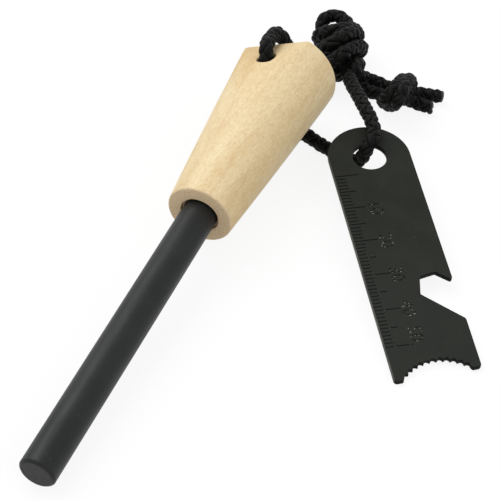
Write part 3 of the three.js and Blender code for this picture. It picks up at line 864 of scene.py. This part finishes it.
def horn(side):
    """The blunt corner on one side of the scoop, from the plate's edge to the first tooth."""
    corner = Vector((side * HALF_WIDTH, end_y))
    above = corner + Vector((0, SCOOP_RADIUS))
    inner = Vector((side * inner_x, end_y))
    into_scoop = Vector((0, end_y + HORN_TIP_LEAN))
    tip = soft_corner(corner, inner, into_scoop, HORN_TIP_ROUNDING, CORNER_STEPS - 1)
    return soft_corner(above, corner, inner, HORN_ROUNDING) + tip


scoop = []
scoop_steps = (TOOTH_COUNT + 1) * STEPS_PER_SCALLOP
for step in range(1, scoop_steps):
    turn = math.radians(SCOOP_HALF_ANGLE * (1 - 2 * step / scoop_steps))
    radius = SCOOP_RADIUS + TOOTH_DEPTH * abs(math.sin(math.pi * step / STEPS_PER_SCALLOP))
    scoop.append(Vector((radius * math.sin(turn), end_y + SCOOP_DEPTH - SCOOP_RADIUS + radius * math.cos(turn))))
middle = scoop_steps // 2 - 1


def slanted(point):
    """The whole end is cut a few degrees off square."""
    moved = pivot + Matrix.Rotation(END_SLANT, 2) @ (point - pivot)
    return Vector((max(-HALF_WIDTH, min(HALF_WIDTH, moved.x)), moved.y))


right_end = [slanted(point) for point in horn(1) + scoop[: middle + 1]]
left_end = [slanted(point) for point in scoop[middle:] + horn(-1)[::-1]]
right_half = head_arc(HALF_WIDTH, 90, 0) + right_side + right_end + head_arc(HANG_HOLE_RADIUS, -90, 90)
left_half = left_end + head_arc(HALF_WIDTH, 180, 90) + head_arc(HANG_HOLE_RADIUS, 90, 270)

plate_mesh = bmesh.new()
for half in (right_half, left_half):
    corners = [plate_mesh.verts.new((point.x, point.y, PLATE_THICKNESS / 2)) for point in half]
    plate_mesh.faces.new(corners)
bmesh.ops.remove_doubles(plate_mesh, verts=plate_mesh.verts, dist=OUTLINE_WELD)
bmesh.ops.recalc_face_normals(plate_mesh, faces=plate_mesh.faces)
back = bmesh.ops.extrude_face_region(plate_mesh, geom=plate_mesh.faces[:])["geom"]
back_corners = [item for item in back if isinstance(item, bmesh.types.BMVert)]
bmesh.ops.translate(plate_mesh, vec=(0, 0, -PLATE_THICKNESS), verts=back_corners)
bmesh.ops.recalc_face_normals(plate_mesh, faces=plate_mesh.faces)


def is_plate_edge(edge):
    """Whether an edge runs between the plate's front or back and its side."""
    if len(edge.link_faces) != 2:
        return False
    ups = sorted(abs(face.normal.z) for face in edge.link_faces)
    return ups[0] < UPRIGHT and ups[1] > LEVEL


plate_rim = [edge for edge in plate_mesh.edges if is_plate_edge(edge)]
bmesh.ops.bevel(
    plate_mesh,
    geom=plate_rim,
    offset=EDGE_BEVEL,
    offset_type="OFFSET",
    segments=2,
    profile=0.5,
    affect="EDGES",
    material=-1,
    clamp_overlap=True,
)
plate = placed("scraper_plate", plate_mesh)


# Ruler marks
# A line each millimetre, longer at each fifth and tenth, with the tens numbered, all sunk in the plate's left
# side before it was blackened.
RULER_LENGTH = 50
MARK_WIDTH = 0.3
MARK_DEPTH = 0.15
MARK_EDGE_INSET = 0.3
MARK_LENGTH = 2.3
MARK_LENGTH_FIVE = 3.8
MARK_LENGTH_TEN = 6.0
NUMBER_PLACES = ((10, 10.6), (20, 20.6), (30, 30.5), (40, 40.3), (50, 47.3))
NUMBER_HEIGHT = 3.3
LETTER_SIZE_SHARE = 1.35
LETTER_FINENESS = 6
NUMBER_FROM_LEFT = 7.4
PLATE_CREASE = 28
BROAD_FACE_AREA = 100

engraving_mesh = bmesh.new()
for distance in range(RULER_LENGTH + 1):
    length = MARK_LENGTH
    if distance % 5 == 0:
        length = MARK_LENGTH_FIVE
    if distance % 10 == 0:
        length = MARK_LENGTH_TEN
    mark = bmesh.ops.create_cube(engraving_mesh, size=1)["verts"]
    bmesh.ops.scale(engraving_mesh, vec=(length, MARK_WIDTH, 2 * MARK_DEPTH), verts=mark)
    middle_x = MARK_EDGE_INSET + length / 2 - HALF_WIDTH
    bmesh.ops.translate(engraving_mesh, vec=(middle_x, ZERO_Y - distance, PLATE_THICKNESS / 2), verts=mark)

for number, distance in NUMBER_PLACES:
    letters = bpy.data.curves.new("number", "FONT")
    letters.body = str(number)
    letters.size = NUMBER_HEIGHT * LETTER_SIZE_SHARE
    letters.extrude = MARK_DEPTH
    letters.align_x = "CENTER"
    letters.align_y = "CENTER"
    letters.resolution_u = LETTER_FINENESS
    writing = bpy.data.objects.new("number", letters)
    bpy.context.scene.collection.objects.link(writing)
    bpy.context.view_layer.update()
    digits = bpy.data.meshes.new_from_object(writing)
    digits.transform(
        Matrix.Translation((NUMBER_FROM_LEFT - HALF_WIDTH, ZERO_Y - distance, PLATE_THICKNESS / 2))
        @ Matrix.Rotation(-math.pi / 2, 4, "Z")
    )
    engraving_mesh.from_mesh(digits)
    bpy.data.objects.remove(writing)
bmesh.ops.remove_doubles(engraving_mesh, verts=engraving_mesh.verts, dist=FINE_WELD)
bmesh.ops.recalc_face_normals(engraving_mesh, faces=engraving_mesh.faces)
engraving = placed("engraving", engraving_mesh)
cut_away(plate, engraving)
plate.data.transform(PLATE_PLACE)
sharpen(plate, PLATE_CREASE)

# The broad front and back are shaded flat, after the creases are set, because that step makes every face smooth.
for polygon in plate.data.polygons:
    polygon.use_smooth = polygon.area < BROAD_FACE_AREA * MM * MM

# The cut sides and the marks are painted blacker than the faces as shade, the right edge and the ramp carry a painted
# shade, the left edge a painted highlight, and painted glints catch in the numbers and at the ends of the lower
# lines.
FACE_SKIN = 0.05
RIM_WIDTH = 0.25
RAMP_RIM_SPARE = 0.3
HIGHLIGHT_EDGE_WIDTH = 0.14
NUMBERS_START = 5.4
GLINT_START = 2.25
GLINT_END = 2.65
GLINTS_FROM = 22


def black_oxide():
    finish = Finish("black oxide steel")
    point = finish.coordinates(PLATE_CENTRE * MM, PLATE_TURN)
    clouds = finish.noise(point, 9.0, detail=3, rough=0.6)
    grain = finish.noise(finish.stretched(point, (0.12, 1.0, 1.0)), 0.3, detail=2)
    dust = finish.between(finish.noise(point, 0.4, detail=1), 0.77, 0.82)
    colour = finish.mix(finish.between(clouds, 0.35, 0.7), painted(33, 35, 31), painted(40, 42, 37))
    colour = finish.mix(finish.between(grain, 0.45, 0.8) * 0.3, colour, painted(48, 50, 45))
    along = finish.part_of(point, "Y")
    # Painted light: the plate is painted lighter towards its lower end.
    colour = finish.mix(finish.between(along, -15, -42) * 0.5, colour, painted(45, 47, 44))
    colour = finish.mix(dust * 0.4, colour, painted(110, 112, 106))
    height = finish.part_of(point, "Z")
    below_faces = height.math("ABSOLUTE") < PLATE_THICKNESS / 2 - FACE_SKIN
    from_left = finish.part_of(point, "X") + HALF_WIDTH
    engraved = (from_left > MARK_EDGE_INSET - FACE_SKIN) * (from_left < NUMBER_FROM_LEFT + NUMBER_HEIGHT)
    sunk = engraved * (height > PLATE_THICKNESS / 2 - 1.5 * MARK_DEPTH) * below_faces
    # Painted shade: the cut sides are painted almost black and the sunk marks a little darker, as shade in the
    # recesses.
    colour = finish.mix(below_faces * (0.9 - 0.72 * sunk), colour, painted(8, 8, 7))
    # Painted shade: a dark band along the right edge and the ramp, where the rounded edge shows dark.
    ramp_way = (ramp_end - notch_lower).normalized()
    from_ramp = (finish.part_of(point, "X") - ramp_end.x) * ramp_way.y - (along - ramp_end.y) * ramp_way.x
    ramp_rim_shade = (from_ramp < RIM_WIDTH) * (along < notch_lower.y + RAMP_RIM_SPARE)
    right_rim_shade = (from_left > PLATE_WIDTH - RIM_WIDTH).math("MAXIMUM", ramp_rim_shade)
    colour = finish.mix(right_rim_shade * 0.7, colour, painted(12, 12, 11))
    # Painted highlight: a pale, patchy line along the left edge, where its bevel catches the light.
    left_edge_highlight = (from_left < HIGHLIGHT_EDGE_WIDTH) * finish.between(clouds, 0.3, 0.65, 0.15, 0.7)
    colour = finish.mix(left_edge_highlight, colour, painted(112, 114, 108))
    # Painted highlights: bright glints in the sunk numbers and at the right ends of the lower marks.
    specks = finish.between(finish.noise(point, 0.3, detail=0), 0.6, 0.68) * (from_left > NUMBERS_START)
    mark_end_glints = (from_left > GLINT_START) * (from_left < GLINT_END) * (along < ZERO_Y - GLINTS_FROM) * 0.35
    colour = finish.mix(sunk * (specks + mark_end_glints) * 0.6, colour, painted(160, 162, 152))
    finish.surface(
        base_color=colour,
        roughness=finish.between(clouds, 0.3, 0.7, 0.42, 0.5),
        specular_ior_level=0.07,
        normal=finish.relief(grain, 0.012, 0.5),
    )
    return finish.material


plate.data.materials.clear()
plate.data.materials.append(black_oxide())
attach(plate, "scraper")
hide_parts("scraper")


# Table and light
# A plain white table and background. One large soft lamp stands above and to the left of the part and a weaker one
# to its right, and the white room fills in the rest.
WHITE = (1, 1, 1, 1)
TABLE_BOUNCE = (0.6, 0.6, 0.6, 1)
TABLE_HALF_WIDTH = 3
TABLE_DROP = 0.00005
GLOW_SHARE = 0.88
ROOM_LIGHT = 0.64
LAMP_WIDTH = 0.5

table_mesh = bmesh.new()
bmesh.ops.create_grid(table_mesh, x_segments=1, y_segments=1, size=TABLE_HALF_WIDTH)
bmesh.ops.translate(table_mesh, vec=(0, 0, -TABLE_DROP), verts=table_mesh.verts)
table = placed("table", table_mesh, smooth=False)


def seen_directly(shading):
    """1 where a surface is seen by the camera, in a reflection or through glass, and 0 where it only gives light."""
    camera_ray, glossy_ray, transmission_ray = (
        shading.node("ShaderNodeLightPath", {}, {}, f"Is {kind} Ray") for kind in ("Camera", "Glossy", "Transmission")
    )
    return camera_ray.math("MAXIMUM", glossy_ray).math("MAXIMUM", transmission_ray)


# Under its own shading the table glows white where it is seen, so that the background is white and keeps the shadow.
table_finish = Finish("white table")
bounce = table_finish.node("ShaderNodeBsdfDiffuse", {}, {"Color": TABLE_BOUNCE})
white_paper = table_finish.node("ShaderNodeBsdfDiffuse", {}, {"Color": WHITE})
glow = table_finish.node("ShaderNodeEmission", {}, {"Color": WHITE, "Strength": 1.0})
shown = table_finish.node("ShaderNodeMixShader", {}, {0: GLOW_SHARE, 1: white_paper, 2: glow})
shaded = table_finish.node("ShaderNodeMixShader", {}, {0: seen_directly(table_finish), 1: bounce, 2: shown})
table_finish.node("ShaderNodeOutputMaterial", {}, {"Surface": shaded})
table.data.materials.append(table_finish.material)

world = bpy.data.worlds.new("white room")
room = Shading(world)
strength = room.node("ShaderNodeMapRange", {}, {"Value": seen_directly(room), "To Min": ROOM_LIGHT, "To Max": 1.0})
background = room.node("ShaderNodeBackground", {}, {"Color": WHITE, "Strength": strength})
room.node("ShaderNodeOutputWorld", {}, {"Surface": background})
bpy.context.scene.world = world


def soft_lamp(name, place, power, mirrored=True):
    """A square lamp that faces the part. One that isn't mirrored leaves no highlight of its own."""
    lamp_data = bpy.data.lights.new(name, "AREA")
    lamp_data.shape = "SQUARE"
    lamp_data.size = LAMP_WIDTH
    lamp_data.energy = power
    lamp = bpy.data.objects.new(name, lamp_data)
    bpy.context.scene.collection.objects.link(lamp)
    lamp.visible_glossy = mirrored
    lamp.matrix_world = Matrix.Translation(place) @ (-Vector(place)).to_track_quat("-Z", "Y").to_matrix().to_4x4()


soft_lamp("key_lamp", (-0.39, 0.15, 0.56), 2.4)
soft_lamp("fill_lamp", (0.5, -0.05, 0.4), 0.85, mirrored=False)

bpy.context.scene.view_settings.view_transform = "Standard"
